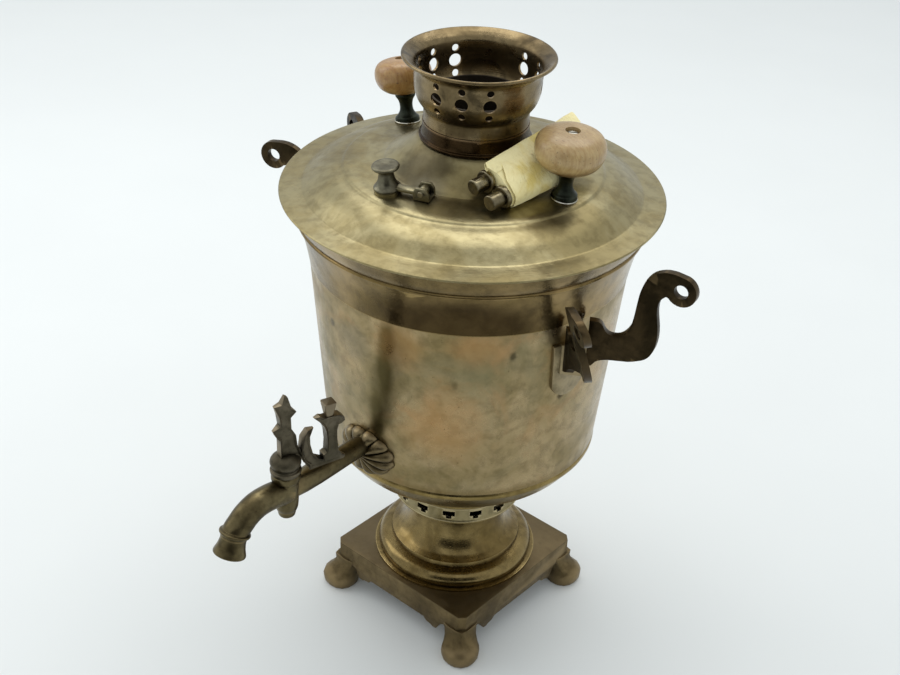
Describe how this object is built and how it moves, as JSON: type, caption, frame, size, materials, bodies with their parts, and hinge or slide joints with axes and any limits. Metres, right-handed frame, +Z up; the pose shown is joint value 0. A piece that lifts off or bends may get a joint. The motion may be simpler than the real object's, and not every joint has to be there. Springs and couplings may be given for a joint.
{
  "type": "samovar",
  "caption": "Charcoal water boiler with a tap, a lid that lifts off, a centre flue with a pierced crown, wooden lid knobs and handle arms, on a square footed base.",
  "frame": {"origin": "on the table, under the middle of the whole outline in X and Y", "axes": "+Z up, -Y along the tap's pipe, +X towards the right handle; the body's own axis stands at x -1.3 mm, y 52.6 mm"},
  "size_m": [0.3486, 0.3652, 0.4406],
  "materials": {
    "cast_bronze": "dark brown cast bronze, satin",
    "foot_brass": "golden olive aged brass, polished and dulled",
    "iron": "green-black iron",
    "body_brass": "pinkish brown aged brass, satin",
    "sooted_brass": "sooted, matt",
    "tap_bronze": "dark brown bronze, satin",
    "leather": "matt",
    "arm_bronze": "very dark brown, satin",
    "lid_brass": "aged olive-yellow brass, satin",
    "crown_bronze": "dark brown bronze, satin",
    "steel": "bright",
    "wood": "worn varnish",
    "paper": "folded cream paper"
  },
  "bodies": {
    "vessel": {"base_plate": "cast_bronze", "pedestal": "foot_brass", "neck_ring": "foot_brass", "fire_grate": "iron", "body_pan": "body_brass", "body_wall": "body_brass", "body_shoulder": "body_brass", "fire_tube": "sooted_brass", "tap_rosette": "tap_bronze", "tap_body": "tap_bronze", "tap_seal_washer": "leather", "tap_lock_nut": "tap_bronze", "handle_mount_right": "arm_bronze", "handle_arm_right_1": "arm_bronze", "handle_arm_right_2": "arm_bronze", "handle_mount_left": "arm_bronze", "handle_arm_left_1": "arm_bronze", "handle_arm_left_2": "arm_bronze"},
    "tap_key": {"tap_key": "tap_bronze", "tap_key_nut": "tap_bronze"},
    "lid": {"lid_shell": "lid_brass", "lid_locator": "lid_brass", "lid_collar": "crown_bronze", "knob_washer_right": "steel", "knob_stem_right": "iron", "lid_knob_right": "wood", "knob_screw_right": "steel", "knob_nut_right": "tap_bronze", "knob_washer_left": "steel", "knob_stem_left": "iron", "lid_knob_left": "wood", "knob_screw_left": "steel", "knob_nut_left": "tap_bronze", "vent_seat": "tap_bronze", "vent_bracket": "tap_bronze", "vent_pin": "tap_bronze", "grip_rod_1": "tap_bronze", "grip_rod_2": "tap_bronze", "paper_wrap": "paper"},
    "vent_cap": {"vent_cap": "tap_bronze"},
    "crown": {"crown": "crown_bronze"}
  },
  "joints": [
    {"name": "tap_key_turn", "type": "hinge", "parent": "vessel", "child": "tap_key", "pos_m": [-0.00131, -0.12241, 0.1863], "axis": [0, 0, 1], "continuous": true},
    {"name": "lid_lift", "type": "slide", "parent": "vessel", "child": "lid", "axis": [0, 0, 1], "range_m": [0, 0.12]},
    {"name": "crown_lift", "type": "slide", "parent": "lid", "child": "crown", "axis": [0, 0, 1], "range_m": [0, 0.06]},
    {"name": "vent_flap", "type": "hinge", "parent": "lid", "child": "vent_cap", "pos_m": [0.01327, -0.01297, 0.37101], "axis": [-0.2933, 0.95, 0.1073], "range_deg": [0, 95]}
  ]
}
